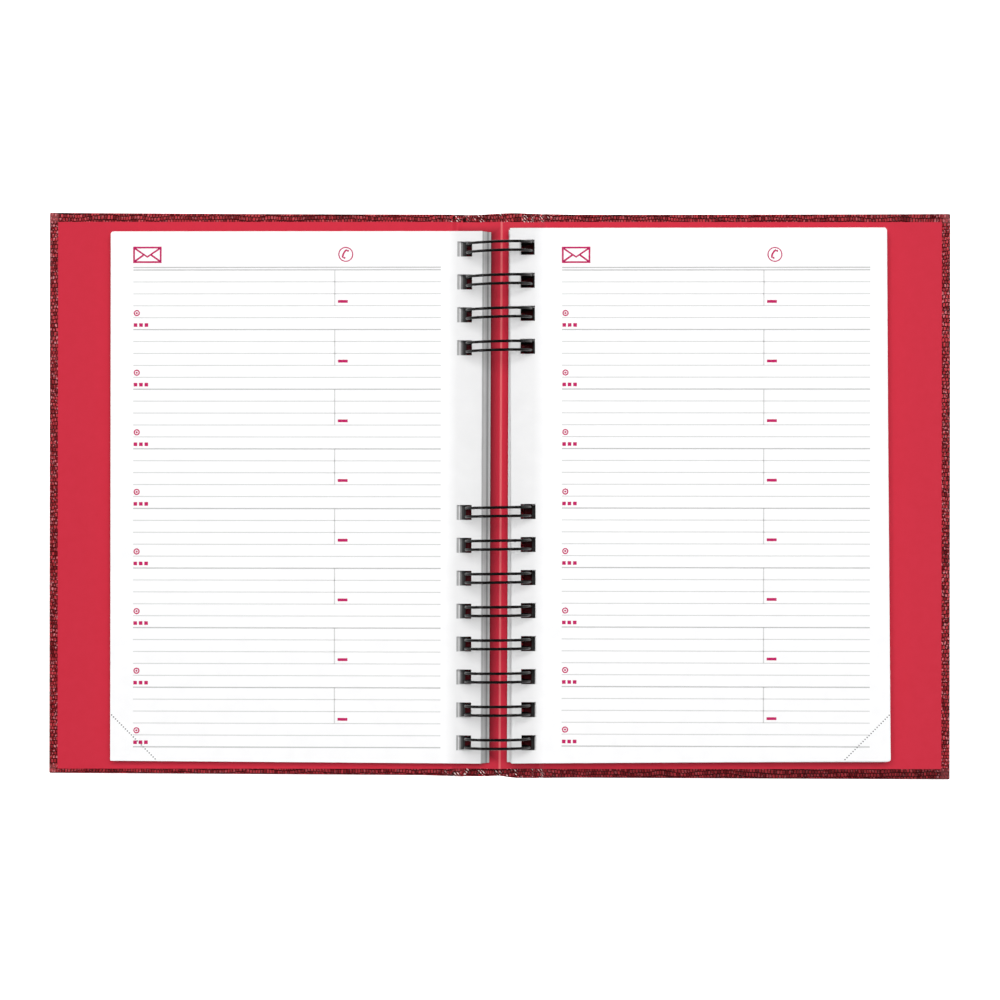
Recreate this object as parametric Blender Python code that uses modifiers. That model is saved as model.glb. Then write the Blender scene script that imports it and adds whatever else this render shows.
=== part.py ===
"""Spiral planner lying open: a hard case, two twin-loop wires and two piles of punched sheets.

Metres, +Z up. The origin is on the table, under the middle of the open case. +X points to the right-hand
page and +Y to the head of the pages. The case closes about two hinge lines beside the spine, and the
sheets turn about the axis of the wire loops.
"""

import math

import bmesh
import bpy
from mathutils import Vector

MM = 0.001

# Sheets
SHEET_WIDTH = 144.0 * MM
SHEET_HEIGHT = 205.2 * MM
SHEET_CORNER = 1.5 * MM
LEAF_THICKNESS = 0.12 * MM
LEFT_SECTION_THICKNESS = 0.7 * MM
RIGHT_SECTION_THICKNESS = 1.2 * MM
SHEET_GAP = 0.1 * MM
LEFT_PILE_DROP = 0.55 * MM
RIGHT_PILE_DROP = 0.2 * MM
LEFT_PILE_SKEW = math.radians(0.1)
RIGHT_PILE_SKEW = math.radians(0.45)
SECTION_COUNT = 6
LEAF_COUNT = 2

# Punching, shared by the sheets and the spine strip
HOLE = 5.8 * MM
HOLE_MARGIN = 3.6 * MM
HOLE_PITCH = 12.7 * MM
HOLE_END_MARGIN = 6.0 * MM
UPPER_LOOPS = 4
LOWER_LOOPS = 8

# Twin-loop wires
WIRE = 1.1 * MM
LOOP_OUTSIDE = 25.4 * MM
TWIN_SPACING = 3.4 * MM
WIRE_BEND = 1.0 * MM
SEAM_HALF_ANGLE = math.radians(5)
LOOP_SIDE_SHIFT = 0.5 * MM
STRAND_STEPS = 18
TIP_STEPS = 5
BEND_STEPS = 3
WIRE_SIDES = 1

# Case
COVERING = 0.5 * MM
BOARD = 3.0 * MM
LINING = 0.3 * MM
SPINE_STRIP = 0.4 * MM
TURN_IN = 10.0 * MM
LINING_INSET = 3.0 * MM
HEAD_SQUARE = 6.4 * MM
FORE_EDGE_SQUARE = 0.15 * MM
GROOVE_WIDTH = 4.2 * MM
GROOVE_LIFT = 1.2 * MM
SPINE_RIDGE = 0.6 * MM
SPINE_SHOULDER = 0.6 * MM
EDGE_ROUND = 0.4 * MM
SHARP_ANGLE = math.radians(30)

# Clearances
GLUE = 0.1 * MM
WIRE_CLEARANCE = 0.15 * MM
WIRE_PLAY = 0.35 * MM
RIGHT_PILE_SETBACK = 3.0 * MM
PILE_CLEARANCE = 0.45 * MM
HINGE_CLEARANCE = 0.8 * MM
HINGE_GAP = 0.3 * MM
WELD = 0.001 * MM
OVERCUT = 2.0 * MM

# Levels and places that follow from the sizes above
wire_radius = WIRE / 2
loop_radius = LOOP_OUTSIDE / 2 - wire_radius
axis_x = LOOP_SIDE_SHIFT
axis_z = COVERING + WIRE_CLEARANCE + LOOP_OUTSIDE / 2
board_low = COVERING + GLUE
board_top = board_low + BOARD
lining_low = board_top + GLUE
inner_face = lining_low + LINING
pile_low = inner_face + PILE_CLEARANCE
hinge_x = LOOP_OUTSIDE / 2 + abs(LOOP_SIDE_SHIFT) + HINGE_CLEARANCE
board_edge = hinge_x + GROOVE_WIDTH
groove_top = GROOVE_LIFT + 2 * COVERING
groove_lining = groove_top + GLUE
half_height = SHEET_HEIGHT / 2 + HEAD_SQUARE
pitches = int((SHEET_HEIGHT - 2 * HOLE_END_MARGIN) / HOLE_PITCH)
upper_places = range(UPPER_LOOPS)
lower_places = range(pitches + 1 - LOWER_LOOPS, pitches + 1)

leather_red = (0.14, 0.012, 0.018)
lining_red = (0.64, 0.034, 0.063)
board_grey = (0.35, 0.33, 0.30)
paper_white = (0.90, 0.90, 0.88)
wire_black = (0.012, 0.012, 0.014)


def clear_scene():
    for old in list(bpy.data.objects):
        bpy.data.objects.remove(old)


def new_collection(name):
    collection = bpy.data.collections.new(name)
    bpy.context.scene.collection.children.link(collection)
    return collection


def new_material(name, colour, roughness, metallic=0.0):
    material = bpy.data.materials.new(name)
    material.use_nodes = True
    shader = material.node_tree.nodes["Principled BSDF"]
    shader.inputs["Base Color"].default_value = (*colour, 1.0)
    shader.inputs["Roughness"].default_value = roughness
    shader.inputs["Metallic"].default_value = metallic
    return material


def new_axis(name, location):
    axis = bpy.data.objects.new(name, None)
    axis.location = location
    planner.objects.link(axis)
    bpy.context.view_layer.update()
    return axis


def keep(piece, material, axis=None):
    """Put a finished piece in the planner, with its material, on the axis that it turns about."""
    piece.data.materials.clear()
    piece.data.materials.append(material)
    planner.objects.link(piece)
    if axis:
        piece.parent = axis
        piece.matrix_parent_inverse = axis.matrix_world.inverted()
    return piece


def flat_piece(name, outlines, thickness, location=(0, 0, 0), rotation=(0, 0, 0)):
    """A closed mesh from a filled outline; further outlines inside the first are holes."""
    curve = bpy.data.curves.new(name, "CURVE")
    curve.dimensions = "2D"
    curve.fill_mode = "BOTH"
    curve.extrude = thickness / 2
    for outline in outlines:
        spline = curve.splines.new("POLY")
        spline.points.add(len(outline) - 1)
        for point, (u, v) in zip(spline.points, outline):
            point.co = (u, v, 0, 1)
        spline.use_cyclic_u = True
    drawn = bpy.data.objects.new(name, curve)
    drawn.location = location
    drawn.rotation_euler = rotation
    bpy.context.scene.collection.objects.link(drawn)
    bpy.context.view_layer.update()
    depsgraph = bpy.context.evaluated_depsgraph_get()
    mesh = bpy.data.meshes.new_from_object(drawn.evaluated_get(depsgraph))
    placed = drawn.matrix_world.copy()
    bpy.data.objects.remove(drawn)
    welded = bmesh.new()
    welded.from_mesh(mesh)
    bmesh.ops.remove_doubles(welded, verts=welded.verts, dist=WELD)
    bmesh.ops.recalc_face_normals(welded, faces=welded.faces)
    welded.to_mesh(mesh)
    welded.free()
    piece = bpy.data.objects.new(name, mesh)
    piece.matrix_world = placed
    return piece


def long_piece(name, profile, half_length):
    """A profile in X and Z, drawn out along Y to both sides of the middle."""
    return flat_piece(name, [profile], 2 * half_length, rotation=(math.pi / 2, 0, 0))


def cut(piece, cutter):
    cutter.display_type = "WIRE"
    cutter.hide_render = True
    cutters.objects.link(cutter)
    modifier = piece.modifiers.new(cutter.name, "BOOLEAN")
    modifier.operation = "DIFFERENCE"
    modifier.object = cutter


def round_outer_edges(piece, is_outer):
    """Round the sharp edges whose two ends both pass the test, given in the piece's own coordinates."""
    shape = bmesh.new()
    shape.from_mesh(piece.data)
    weight = shape.edges.layers.float.new("bevel_weight_edge")
    for edge in shape.edges:
        sharp = edge.calc_face_angle() > SHARP_ANGLE
        if sharp and all(is_outer(corner.co) for corner in edge.verts):
            edge[weight] = 1.0
    shape.to_mesh(piece.data)
    shape.free()
    rounding = piece.modifiers.new("rounded edges", "BEVEL")
    rounding.limit_method = "WEIGHT"
    rounding.width = EDGE_ROUND
    rounding.segments = 2


def place_y(place):
    """Distance from the middle of the page to the centre of a punching place, counted from the head."""
    return (pitches / 2 - place) * HOLE_PITCH


def punched_places():
    return [*upper_places, *lower_places]


def rectangle(x_low, x_high, y_low, y_high):
    return [(x_low, y_low), (x_high, y_low), (x_high, y_high), (x_low, y_high)]


def wire_axis_reach():
    """Distance from the wire axis to the furthest fore-edge, which belongs to the top left leaf."""
    top_leaf_low = pile_low + SECTION_COUNT * (LEFT_SECTION_THICKNESS + SHEET_GAP)
    top_leaf_low += (LEAF_COUNT - 1) * (LEAF_THICKNESS + SHEET_GAP)
    return hole_edge(top_leaf_low) - HOLE_MARGIN + SHEET_WIDTH


def hole_edge(sheet_low):
    """How far from the wire axis the near edge of a sheet's holes lies when the sheet is pulled out."""
    depth = sheet_low - axis_z
    return math.sqrt((loop_radius - wire_radius) ** 2 - depth**2) - WIRE_PLAY


def sheet_outlines(side, edge):
    """A sheet's outline and its holes, measured from the wire axis, with the holes' near edge given."""
    near = edge - HOLE_MARGIN
    far = near + SHEET_WIDTH
    half = SHEET_HEIGHT / 2
    outline = [(side * near, -half), (side * near, half)]
    for turn in range(2 * BEND_STEPS + 2):
        head = turn <= BEND_STEPS
        angle = math.pi / 2 * (turn if head else turn - 1) / BEND_STEPS
        centre_y = half - SHEET_CORNER if head else SHEET_CORNER - half
        x = far - SHEET_CORNER + SHEET_CORNER * math.sin(angle)
        outline.append((side * x, centre_y + SHEET_CORNER * math.cos(angle)))
    holes = []
    for place in punched_places():
        low = place_y(place) - HOLE / 2
        ends = sorted((side * edge, side * (edge + HOLE)))
        holes.append(rectangle(*ends, low, low + HOLE))
    return [outline, *holes]


def build_pile(name, side, section_thickness, drop, skew, column):
    """Stack the sections and the loose leaves of one side, each one on the last and turned a little further."""
    low = pile_low
    layers = [(f"{name}_section_{i + 1}", section_thickness) for i in range(SECTION_COUNT)]
    layers += [(f"{name}_leaf_{i + 1}", LEAF_THICKNESS) for i in range(LEAF_COUNT)]
    for count, (layer, thickness) in enumerate(layers):
        edge = min(hole_edge(low), column)
        location = (axis_x, -drop, low + thickness / 2)
        rotation = (0, 0, skew * count / (len(layers) - 1))
        piece = flat_piece(layer, sheet_outlines(side, edge), thickness, location, rotation)
        keep(piece, paper, wire_axis)
        low += thickness + SHEET_GAP


def unrolled_wire(places):
    """The wire's path before it is rolled up: distance round the loop from the seam, and Y."""
    length = loop_radius * (2 * math.pi - 2 * SEAM_HALF_ANGLE)
    half = TWIN_SPACING / 2
    straight = length - half
    path = []
    for place in places:
        middle = place_y(place)
        for step in range(BEND_STEPS + 1):
            turn = math.pi / 2 * step / BEND_STEPS
            out = WIRE_BEND * (1 - math.cos(turn))
            path.append((out, middle + half + WIRE_BEND * (1 - math.sin(turn))))
        for step in range(1, STRAND_STEPS + 1):
            out = WIRE_BEND + (straight - WIRE_BEND) * step / STRAND_STEPS
            path.append((out, middle + half))
        for step in range(1, TIP_STEPS):
            turn = math.pi * step / TIP_STEPS
            path.append((straight + half * math.sin(turn), middle + half * math.cos(turn)))
        for step in range(STRAND_STEPS, -1, -1):
            out = WIRE_BEND + (straight - WIRE_BEND) * step / STRAND_STEPS
            path.append((out, middle - half))
        for step in range(1, BEND_STEPS + 1):
            turn = math.pi / 2 * step / BEND_STEPS
            out = WIRE_BEND * (1 - math.sin(turn))
            path.append((out, middle - half - WIRE_BEND * (1 - math.cos(turn))))
    return path


def rolled(out, y):
    angle = -math.pi / 2 - SEAM_HALF_ANGLE - out / loop_radius
    x = axis_x + loop_radius * math.cos(angle)
    return Vector((x, y, axis_z + loop_radius * math.sin(angle)))


def least_gap(points):
    """The least gap between two stretches of a wire that are further apart along it than two spacings."""
    travelled = [0.0]
    for before, after in zip(points, points[1:]):
        travelled.append(travelled[-1] + (after - before).length)
    return min(
        (points[i] - points[j]).length - WIRE
        for i in range(len(points))
        for j in range(i)
        if travelled[i] - travelled[j] > 2 * TWIN_SPACING
    )


def build_wire(name, places):
    """One unbroken wire: up each loop, round its tip, back down, and along the seam to the next loop."""
    points = [rolled(out, y) for out, y in unrolled_wire(places)]
    curve = bpy.data.curves.new(name, "CURVE")
    curve.dimensions = "3D"
    curve.bevel_depth = wire_radius
    curve.bevel_resolution = WIRE_SIDES
    curve.use_fill_caps = True
    spline = curve.splines.new("POLY")
    spline.points.add(len(points) - 1)
    for point, place in zip(spline.points, points):
        point.co = (*place, 1)
    keep(bpy.data.objects.new(name, curve), wire)
    print(f"{name}: least gap to itself {least_gap(points) / MM:.2f} mm")


def build_cover(name, side, axis):
    """One side of the case: the wrapped covering, its board and the lining pasted inside."""
    outer = half_width
    inner = hinge_x + HINGE_GAP / 2
    slope = GROOVE_LIFT
    window = outer - TURN_IN

    def at(profile):
        return [(side * distance, height) for distance, height in profile]

    wrapped = [
        (outer, 0),
        (board_edge, 0),
        (board_edge - slope, GROOVE_LIFT),
        (inner, GROOVE_LIFT),
        (inner, groove_top),
        (board_edge - slope, groove_top),
        (board_edge + GLUE, board_top),
        (outer, board_top),
    ]
    covering = long_piece(f"{name}_covering", at(wrapped), half_height)

    def is_outer(corner):
        on_end = abs(corner.z) > half_height - WELD and abs(corner.x) > inner + WELD
        return on_end or abs(corner.x) > outer - WELD

    round_outer_edges(covering, is_outer)
    pocket = rectangle(board_edge - GLUE, outer - COVERING, COVERING, board_top - COVERING)
    cut(covering, long_piece(f"{name}_board_pocket", at(pocket), half_height - COVERING))
    opened = [
        (window, COVERING),
        (board_edge + COVERING / 2, COVERING),
        (board_edge - slope + COVERING / 2, GROOVE_LIFT + COVERING),
        (inner - OVERCUT, GROOVE_LIFT + COVERING),
        (inner - OVERCUT, inner_face),
        (window, inner_face),
    ]
    cut(covering, long_piece(f"{name}_turn_in_opening", at(opened), half_height - TURN_IN))
    keep(covering, leatherette, axis)

    far = outer - COVERING - GLUE
    board_half = half_height - COVERING - GLUE
    board = long_piece(f"{name}_board", at(rectangle(board_edge, far, board_low, board_top)), board_half)
    rim_low = board_top - COVERING - GLUE
    rim_outside = rectangle(hinge_x - OVERCUT, outer, -half_height, half_height)
    rim_inside = rectangle(hinge_x, window - GLUE, TURN_IN + GLUE - half_height, half_height - TURN_IN - GLUE)
    rim = flat_piece(
        f"{name}_turn_in_rebate",
        [at(rim_outside), at(rim_inside)],
        2 * (board_top - rim_low),
        location=(0, 0, board_top),
    )
    cut(board, rim)
    keep(board, greyboard, axis)

    fore = outer - LINING_INSET
    dip = inner_face - LINING - groove_lining
    pasted = [
        (fore, inner_face),
        (board_edge - GLUE, inner_face),
        (board_edge - GLUE - dip, groove_lining + LINING),
        (inner, groove_lining + LINING),
        (inner, groove_lining),
        (board_edge - 2 * GLUE - dip, groove_lining),
        (board_edge - 2 * GLUE, lining_low),
        (fore, lining_low),
    ]
    lining = long_piece(f"{name}_lining", at(pasted), half_height - LINING_INSET)
    keep(lining, red_paper, axis)


def build_spine():
    """The flexible spine: the covering between the hinges, and the creased strip that the wires pass through."""
    edge = hinge_x - HINGE_GAP / 2
    flat = edge - GROOVE_LIFT

    def both_sides(right_half):
        return right_half + [(-x, z) for x, z in reversed(right_half)]

    wrapped = both_sides([(flat, 0), (edge, GROOVE_LIFT), (edge, groove_top), (flat, 2 * COVERING)])
    covering = long_piece("spine_covering", wrapped, half_height)

    def is_outer(corner):
        return abs(corner.z) > half_height - WELD and abs(corner.x) < edge - WELD

    round_outer_edges(covering, is_outer)
    beyond = edge + OVERCUT
    near = flat - COVERING / 2
    opened = both_sides([(near, COVERING), (beyond, COVERING + beyond - near), (beyond, axis_z)])
    cut(covering, long_piece("spine_turn_in_opening", opened, half_height - TURN_IN))
    keep(covering, leatherette)

    shoulder_z = inner_face - SPINE_SHOULDER
    ridge_z = inner_face + SPINE_RIDGE
    drop = axis_z - shoulder_z + SPINE_STRIP / 2
    shoulder_x = math.sqrt(loop_radius**2 - drop**2)
    top = [
        (-edge, groove_lining + SPINE_STRIP),
        (axis_x - shoulder_x, shoulder_z),
        (axis_x, ridge_z),
        (axis_x + shoulder_x, shoulder_z),
        (edge, groove_lining + SPINE_STRIP),
    ]
    creased = top + [(x, z - SPINE_STRIP) for x, z in reversed(top)]
    strip = long_piece("spine_strip", creased, half_height - LINING_INSET)
    for row, side in (("left", -1), ("right", 1)):
        for place in punched_places():
            middle = axis_x + side * shoulder_x
            low = place_y(place) - HOLE / 2
            hole = rectangle(middle - HOLE / 2, middle + HOLE / 2, low, low + HOLE)
            punch = flat_piece(f"{row}_punch_{place + 1}", [hole], 2 * ridge_z, location=(0, 0, inner_face))
            cut(strip, punch)
    keep(strip, red_paper)


clear_scene()
half_width = hinge_x + axis_z - inner_face + wire_axis_reach() + FORE_EDGE_SQUARE
planner = new_collection("spiral planner")
cutters = new_collection("cutters")
leatherette = new_material("leatherette", leather_red, 0.45)
greyboard = new_material("greyboard", board_grey, 0.9)
red_paper = new_material("lining_paper", lining_red, 0.5)
paper = new_material("page_paper", paper_white, 0.8)
wire = new_material("coated_wire", wire_black, 0.25)

front_axis = new_axis("front_cover_axis", (-hinge_x, 0, inner_face))
back_axis = new_axis("back_cover_axis", (hinge_x, 0, inner_face))
wire_axis = new_axis("wire_axis", (axis_x, 0, axis_z))

build_spine()
build_wire("upper_wire", upper_places)
build_wire("lower_wire", lower_places)
build_cover("front", -1, front_axis)
build_cover("back", 1, back_axis)
right_leaf_low = pile_low + SECTION_COUNT * (RIGHT_SECTION_THICKNESS + SHEET_GAP)
right_column = hole_edge(right_leaf_low) - RIGHT_PILE_SETBACK
build_pile("left", -1, LEFT_SECTION_THICKNESS, LEFT_PILE_DROP, LEFT_PILE_SKEW, SHEET_WIDTH)
build_pile("right", 1, RIGHT_SECTION_THICKNESS, RIGHT_PILE_DROP, RIGHT_PILE_SKEW, right_column)
bpy.context.view_layer.update()
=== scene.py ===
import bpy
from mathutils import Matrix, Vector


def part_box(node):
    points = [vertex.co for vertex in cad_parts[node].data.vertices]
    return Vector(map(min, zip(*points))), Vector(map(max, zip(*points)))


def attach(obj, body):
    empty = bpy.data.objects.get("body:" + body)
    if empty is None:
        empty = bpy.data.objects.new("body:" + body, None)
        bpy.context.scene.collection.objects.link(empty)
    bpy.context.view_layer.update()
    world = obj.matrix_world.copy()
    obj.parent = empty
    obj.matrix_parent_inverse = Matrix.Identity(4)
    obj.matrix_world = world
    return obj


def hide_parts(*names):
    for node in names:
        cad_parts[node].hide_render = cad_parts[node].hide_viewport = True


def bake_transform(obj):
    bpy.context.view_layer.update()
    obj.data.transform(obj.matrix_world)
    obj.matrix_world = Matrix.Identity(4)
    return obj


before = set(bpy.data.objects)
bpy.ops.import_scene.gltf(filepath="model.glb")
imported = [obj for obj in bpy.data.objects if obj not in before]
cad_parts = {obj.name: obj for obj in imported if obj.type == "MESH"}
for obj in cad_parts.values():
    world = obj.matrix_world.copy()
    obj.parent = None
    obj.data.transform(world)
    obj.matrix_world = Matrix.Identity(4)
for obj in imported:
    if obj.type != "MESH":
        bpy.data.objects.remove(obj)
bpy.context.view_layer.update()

import math

import bmesh
import bpy
from mathutils import Matrix, Vector

# Covering: dark red leatherette with a pressed lizard grain, half a millimetre thick. Each half is one
# sheet that runs from the fore-edge over the hinge groove to the middle of the spine. It is glued round
# the board, turned in 10 mm on three sides and mitred at the two corners.
MM = 0.001
HALVES = {"front": -1, "back": 1}
COVERING = 0.48 * MM
PASTE = 0.04 * MM
TURN_IN = 10 * MM
FORE_PROUD = 0.14 * MM
CORNER = 0.5 * MM
SHARPEST_CORNER = 0.03 * MM
MITRE = 0.6 * MM
MITRE_DEPTH = 0.14 * MM
MITRE_WIDTH = 0.05 * MM
WRAP_ROUND = 0.7 * MM
WRAP_SHARE = 0.45
UNDER_POINT = 3 * MM
BORDER_POINTS = (1.6 * MM, 3.2 * MM)
GROOVE_LIFT = 1.2 * MM
GROOVE_STEPS = 24
BOARD_STEPS = 12
ROUND_STEPS = 6
SPINE_MIDDLE = 0.5 * MM
SPINE_POINTS = (2 * MM, 5 * MM, 8 * MM, 10.5 * MM)
SPINE_FLAT = 12.4 * MM
GROOVE_START = 14.0 * MM
GROOVE_END = 16.8 * MM
BOARD_EDGE = 18.4 * MM
CASE_SKEW = -0.0026
CASE_SHIFT = 0.1 * MM
board_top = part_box("back_covering")[1].z
half_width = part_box("back_covering")[1].x + FORE_PROUD
half_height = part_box("back_covering")[1].y


def new_material(name, roughness):
    material = bpy.data.materials.new(name)
    material.use_nodes = True
    shader = material.node_tree.nodes["Principled BSDF"]
    shader.inputs["Roughness"].default_value = roughness
    return material, shader


def feed(shader, socket, value):
    if isinstance(value, bpy.types.NodeSocket):
        shader.id_data.links.new(value, socket)
    else:
        socket.default_value = value


def add_node(shader, kind, inputs, **settings):
    """Put a node in the shader's tree. An input is a value, or the output of another node."""
    made = shader.id_data.nodes.new(kind)
    for name, value in settings.items():
        setattr(made, name, value)
    for name, value in inputs.items():
        feed(shader, made.inputs[name], value)
    return made


def open_place(shader):
    """Where a point of a bending piece is while the case lies open."""
    return add_node(shader, "ShaderNodeAttribute", {}, attribute_name="open_place").outputs["Vector"]


def keep_open_place(mesh):
    """Note each point's place, so that the material bends with the piece."""
    kept = mesh.attributes.new("open_place", "FLOAT_VECTOR", "POINT")
    for corner, note in zip(mesh.vertices, kept.data):
        note.vector = corner.co


def split(shader, vector):
    """The three shares of a vector."""
    return add_node(shader, "ShaderNodeSeparateXYZ", {"Vector": vector}).outputs


def noise(shader, place, scale, detail=2.0):
    inputs = {"Vector": place, "Scale": scale, "Detail": detail}
    return add_node(shader, "ShaderNodeTexNoise", inputs).outputs["Fac"]


def stretched(shader, value, low, high, to_low=0.0, to_high=1.0):
    """A value eased from one range to another."""
    inputs = {"Value": value, "From Min": low, "From Max": high, "To Min": to_low, "To Max": to_high}
    return add_node(shader, "ShaderNodeMapRange", inputs, interpolation_type="SMOOTHSTEP").outputs["Result"]


def calculated(shader, operation, first, second):
    made = add_node(shader, "ShaderNodeMath", {}, operation=operation)
    feed(shader, made.inputs[0], first)
    feed(shader, made.inputs[1], second)
    return made.outputs["Value"]


def product(shader, first, second):
    return calculated(shader, "MULTIPLY", first, second)


def size_of(shader, value):
    """A value without its sign."""
    return calculated(shader, "ABSOLUTE", value, 0)


def mixed(shader, share, first, second):
    """A share of the second colour over the first."""
    inputs = {0: share, 6: first, 7: second}
    return add_node(shader, "ShaderNodeMix", inputs, data_type="RGBA").outputs[2]


def dimmed(shader, colour, share):
    inputs = {"Color": colour, "Value": share}
    return add_node(shader, "ShaderNodeHueSaturation", inputs).outputs["Color"]


def bumped(shader, height, depth, strength=1.0):
    inputs = {"Height": height, "Distance": depth, "Strength": strength}
    feed(shader, shader.inputs["Normal"], add_node(shader, "ShaderNodeBump", inputs).outputs["Normal"])


SCALE_WIDTH = 1.1 * MM
SCALE_ROW = 1.45 * MM
SCALE_GROOVE = 0.22 * MM
GRAIN_WANDER = 3.5 * MM
GRAIN_DEPTH = 0.12 * MM
DARK_SCALE = (0.13, 0.003, 0.006, 1)
LIGHT_SCALE = (0.50, 0.036, 0.048, 1)
GROOVE_RED = (0.02, 0.001, 0.0015, 1)
# A painted highlight: the pale pink sheen put on some scale crests.
PAINTED_SHEEN_SCALE = (0.56, 0.17, 0.19, 1)
RUBBED_SCALE = (0.62, 0.17, 0.18, 1)
# A painted highlight: near-white glint specks by the spine.
PAINTED_GLINT = (0.90, 0.76, 0.73, 1)
CORNER_WEAR = 0.25
SPINE_GLINT_REACH = (14 * MM, 24 * MM)
head_border = (half_height - 4 * MM, half_height - 3 * MM)
tail_border = (3 * MM - half_height, 4 * MM - half_height)
fore_border = (half_width - 8 * MM, half_width - 4 * MM)
fore_corner = (half_width - 3.6 * MM, half_width - 2.8 * MM)

leatherette, shader = new_material("leatherette", 0.35)
place = open_place(shader)
across, up, height = split(shader, place)
out = size_of(shader, across)
end = stretched(shader, size_of(shader, up), *head_border)
inputs = {"Vector": place, "Scale": 85.0, "Detail": 1.0}
wander = add_node(shader, "ShaderNodeTexNoise", inputs).outputs["Color"]
inputs = {0: wander, 1: (GRAIN_WANDER, GRAIN_WANDER, 0), 2: place}
bent = add_node(shader, "ShaderNodeVectorMath", inputs, operation="MULTIPLY_ADD").outputs["Vector"]
aside = add_node(shader, "ShaderNodeCombineXYZ", {"X": height, "Y": height}).outputs["Vector"]
wrapped = add_node(shader, "ShaderNodeVectorMath", {0: bent, 1: aside}, operation="ADD").outputs["Vector"]
inputs = {"Vector": wrapped, "Scale": 1.0, "Brick Width": SCALE_WIDTH, "Row Height": SCALE_ROW}
inputs |= {"Mortar Size": SCALE_GROOVE, "Mortar Smooth": 0.7, "Bias": 0.0}
inputs |= {"Color1": DARK_SCALE, "Color2": LIGHT_SCALE, "Mortar": GROOVE_RED}
scales = add_node(shader, "ShaderNodeTexBrick", inputs, squash=1.0).outputs
# Painted highlight: pale pink sheen on scattered scale crests, stronger towards the fore-edge borders,
# where side lamps would catch the grain.
painted_sheen = stretched(shader, noise(shader, place, 900.0), 0.54, 0.64)
painted_sheen = product(shader, painted_sheen, stretched(shader, out, *fore_border, 0.4, 0.95))
painted_sheen = calculated(shader, "SUBTRACT", painted_sheen, scales["Fac"])
colour = mixed(shader, painted_sheen, scales["Color"], PAINTED_SHEEN_SCALE)
worn = product(shader, stretched(shader, out, *fore_corner), end)
colour = mixed(shader, product(shader, worn, CORNER_WEAR), colour, RUBBED_SCALE)
# Painted shade: the head and tail borders are darkened in colour, the tail more, and both more towards the
# back cover's fore-edge, as if lit from the head.
tail_shade = stretched(shader, across, -half_width, half_width, 0.86, 0.56)
tail_shade = stretched(shader, up, *tail_border, tail_shade, 1.0)
head_shade = stretched(shader, across, -half_width, half_width, 1.0, 0.82)
head_shade = stretched(shader, up, *head_border, 1.0, head_shade)
colour = dimmed(shader, colour, product(shader, head_shade, tail_shade))
# Painted highlight: near-white glints in diagonal dashes on the scale crests, in patches near the spine at
# the head and the tail, where the bent covering catches the light.
patch = stretched(shader, noise(shader, place, 330.0, 1.0), 0.53, 0.58)
inputs = {"Vector": place, "Scale": 480.0}
streak = add_node(shader, "ShaderNodeTexWave", inputs, bands_direction="DIAGONAL").outputs["Fac"]
crest = calculated(shader, "SUBTRACT", stretched(shader, streak, 0.7, 0.9), scales["Fac"])
bend = product(shader, stretched(shader, out, *SPINE_GLINT_REACH, 1.0, 0.0), end)
painted_glints = product(shader, product(shader, bend, patch), crest)
feed(shader, shader.inputs["Base Color"], mixed(shader, painted_glints, colour, PAINTED_GLINT))
shader.inputs["Specular IOR Level"].default_value = 0.15
fine = noise(shader, place, 5200.0)
feed(shader, shader.inputs["Roughness"], stretched(shader, fine, 0.3, 0.7, 0.18, 0.32))
crown = calculated(shader, "SUBTRACT", product(shader, fine, 0.1), scales["Fac"])
bumped(shader, crown, GRAIN_DEPTH, 0.8)


def eased(low, high, value):
    """A smooth step from 0 to 1 between two places."""
    share = min(max((value - low) / (high - low), 0), 1)
    return share * share * (3 - 2 * share)


def covering_levels(reach):
    """Underside and upper side of the wrapped covering, at a distance from the middle of the case."""
    rise = eased(SPINE_FLAT, GROOVE_START, reach)
    step = eased(GROOVE_END, BOARD_EDGE, reach)
    low = GROOVE_LIFT * (rise - step)
    folded = 2 * COVERING + PASTE
    high = folded + GROOVE_LIFT * rise + (board_top - folded - GROOVE_LIFT) * step
    return low, high


HEAD_BOW = 0.5 * MM
HEAD_DIP = 0.3 * MM
HEAD_SWELL = (0.85 * MM, 6 * MM, 11 * MM)
TAIL_STAND = 0.68 * MM
TAIL_BOW = 0.28 * MM
TAIL_FROM = (-1 * MM, 8 * MM)
TAIL_SWELL = (0.45 * MM, 9 * MM, 9 * MM)
LEFT_STAND = 0.5 * MM
LEFT_FROM = (-22 * MM, -15 * MM)
LEFT_TO = (-5 * MM, 1 * MM)


def swell(x, height, middle, spread):
    return height * math.exp(-(((x - middle) / spread) ** 2))


def slack(x, end):
    """How far the covering stands out at the head or the tail: the boards bow, and the spine is loose."""
    share = abs(x) / half_width
    if end > 0:
        return HEAD_BOW * share**2 - HEAD_DIP + swell(x, *HEAD_SWELL)
    board = (TAIL_STAND - TAIL_BOW * share) * eased(*TAIL_FROM, x)
    left = LEFT_STAND * (eased(*LEFT_FROM, x) - eased(*LEFT_TO, x))
    return board + left + swell(x, *TAIL_SWELL)


def covering_path(side, inset):
    """Points round the head, fore-edge and tail of one half, a little way in from its edge."""
    radius = max(CORNER - inset, SHARPEST_CORNER)
    far_x = half_width - inset - radius
    far_y = half_height - inset - radius
    near = [side * SPINE_MIDDLE, *SPINE_POINTS]
    near += [SPINE_FLAT + (BOARD_EDGE - SPINE_FLAT) * i / GROOVE_STEPS for i in range(GROOVE_STEPS + 1)]
    near += [half_width * i / BOARD_STEPS for i in range(2, BOARD_STEPS)]
    near += [half_width - TURN_IN - CORNER, far_x - MITRE]
    arc = [math.pi / 2 * i / ROUND_STEPS for i in range(ROUND_STEPS + 1)]
    plan = [(reach, half_height - inset) for reach in near]
    plan += [(far_x + radius * math.sin(turn), far_y + radius * math.cos(turn)) for turn in arc]
    plan.append((half_width - inset, far_y - MITRE))
    head = [(reach, y + slack(side * reach, 1)) for reach, y in plan]
    tail = [(reach, -y - slack(side * reach, -1)) for reach, y in plan]
    return head + tail[::-1]


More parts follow.
